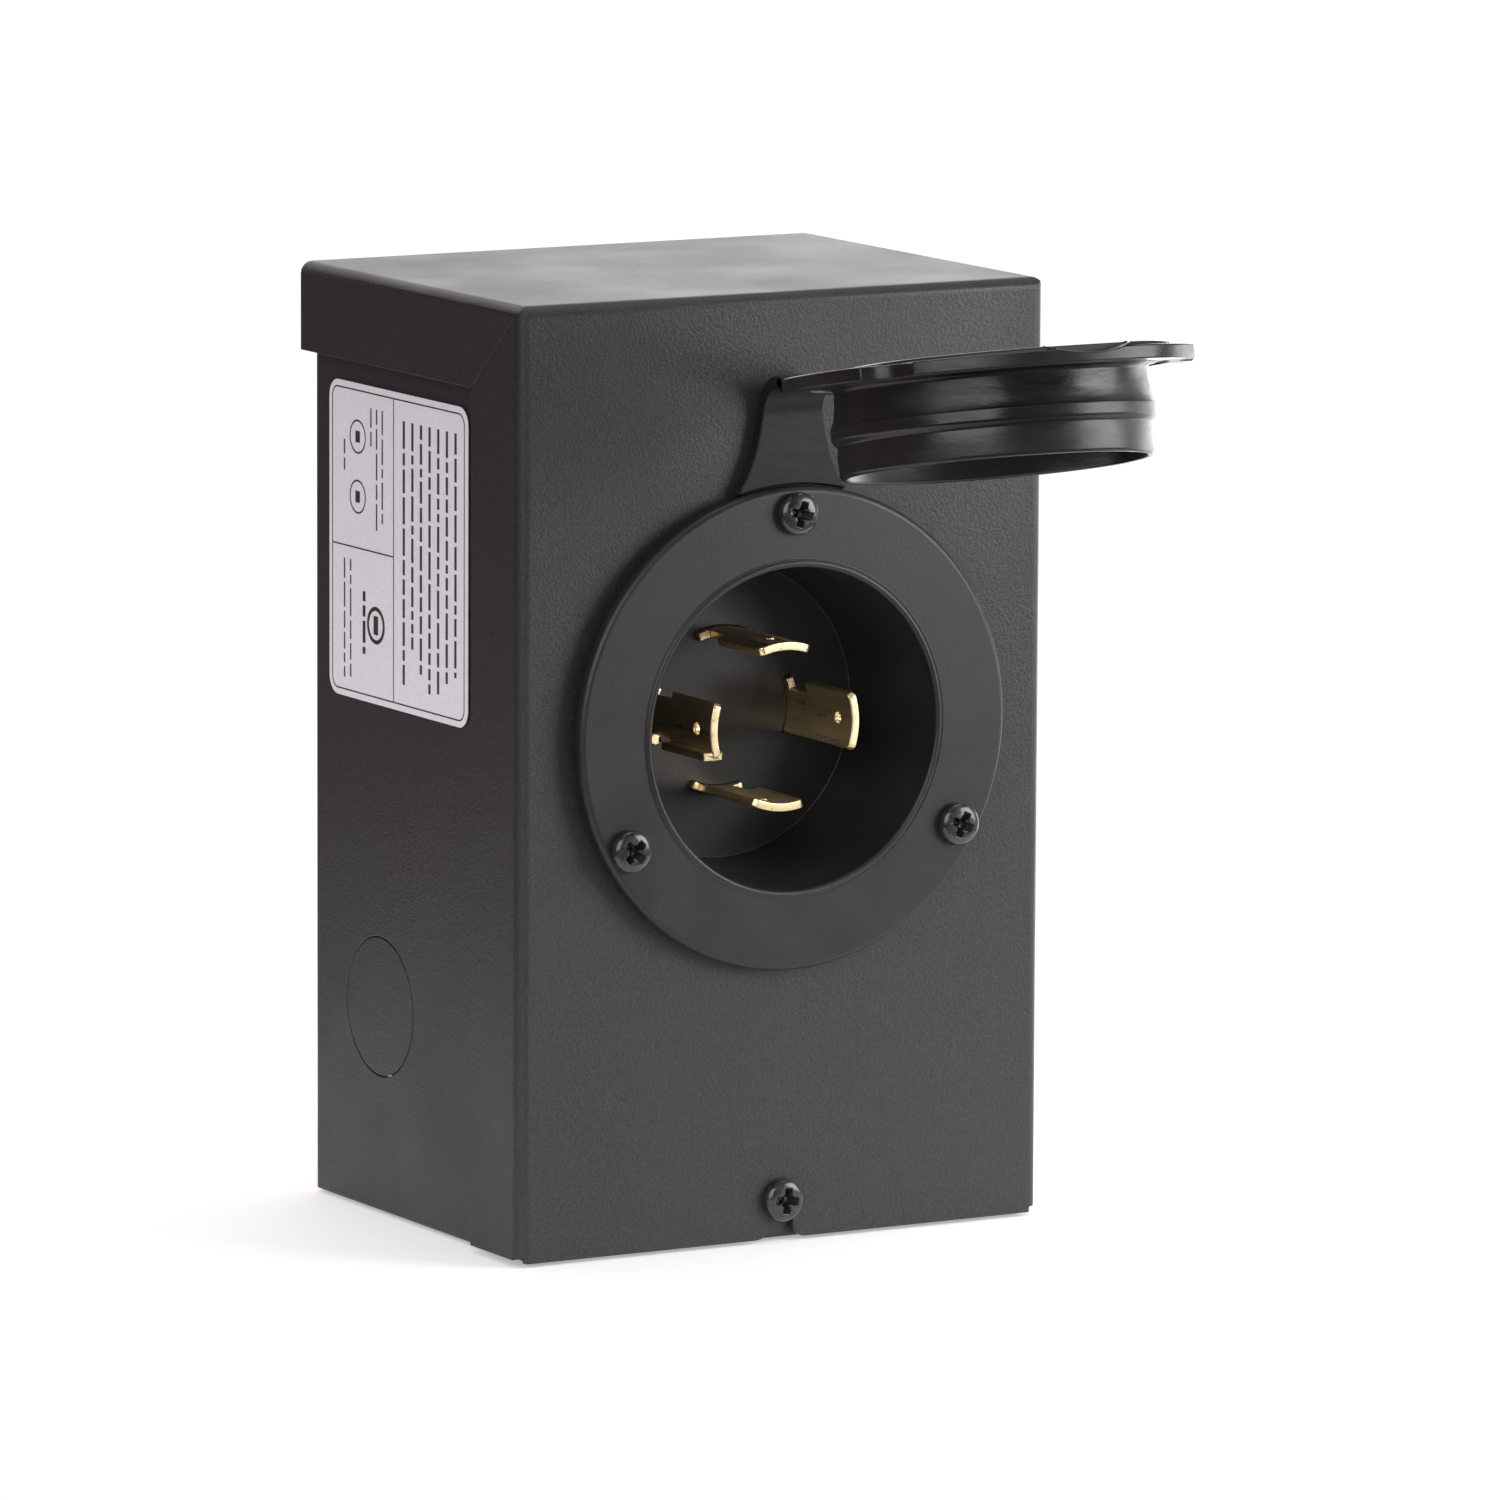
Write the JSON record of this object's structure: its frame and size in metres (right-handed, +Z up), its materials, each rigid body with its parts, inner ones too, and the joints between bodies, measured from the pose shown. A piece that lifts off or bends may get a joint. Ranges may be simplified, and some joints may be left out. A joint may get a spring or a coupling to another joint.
{
  "type": "generator inlet box",
  "caption": "Wall-mounted black steel box with a lift-off hooded front cover, a recessed flanged locking power inlet and a rubber flip cap shown open.",
  "frame": {"origin": "centre of the flat back panel's outer face, which lies against the wall", "axes": "+X to the right as seen from the front, +Y into the wall, +Z up; the front faces -Y"},
  "size_m": [0.113, 0.1995, 0.1818],
  "materials": {
    "powder_coat": "fine-textured matt black powder coat on sheet steel",
    "moulded_black": "satin black moulded thermoplastic",
    "black_rubber": "smooth, slightly glossy black rubber",
    "black_screw": "glossy black-finished steel screw",
    "brass": "polished yellow brass",
    "zinc_plate": "bright zinc-plated steel",
    "lug_aluminium": "tin-plated aluminium",
    "green_screw": "green-dyed steel screw",
    "label_foil": "silver metallised adhesive label"
  },
  "bodies": {
    "case": {"back_box": "powder_coat", "knockout_left": "powder_coat", "knockout_right": "powder_coat", "knockout_bottom": "powder_coat", "knockout_back": "powder_coat", "rating_label": "label_foil", "ground_lug": "lug_aluminium", "ground_lug_screw": "zinc_plate", "ground_wire_screw": "zinc_plate", "ground_bond_screw": "green_screw", "cover_screw": "black_screw", "cover_rivet_nut": "zinc_plate"},
    "cover": {"front_cover": "powder_coat", "gasket_strap": "black_rubber", "inlet_housing": "moulded_black", "hot_blade_x": "brass", "neutral_blade": "brass", "hot_blade_y": "brass", "ground_blade": "brass", "terminal_body": "moulded_black", "terminal_clamp_hot_x": "zinc_plate", "terminal_clamp_neutral": "zinc_plate", "terminal_clamp_hot_y": "zinc_plate", "terminal_clamp_ground": "zinc_plate", "terminal_screw_hot_x": "brass", "terminal_screw_neutral": "zinc_plate", "terminal_screw_hot_y": "brass", "terminal_screw_ground": "green_screw", "inlet_body_screw_1": "zinc_plate", "inlet_body_screw_2": "zinc_plate", "flange_screw_top": "black_screw", "flange_screw_left": "black_screw", "flange_screw_right": "black_screw", "flange_nut_top": "zinc_plate", "flange_nut_left": "zinc_plate", "flange_nut_right": "zinc_plate"},
    "cap": {"flip_cap": "black_rubber"}
  },
  "joints": [
    {"name": "cover_lift", "type": "slide", "parent": "case", "child": "cover", "axis": [0, 0, 1], "range_m": [0, 0.19]},
    {"name": "cap_hinge", "type": "hinge", "parent": "cover", "child": "cap", "pos_m": [0, -0.0967, 0.0742], "axis": [-1, 0, 0], "range_deg": [-100.4, 70]}
  ]
}
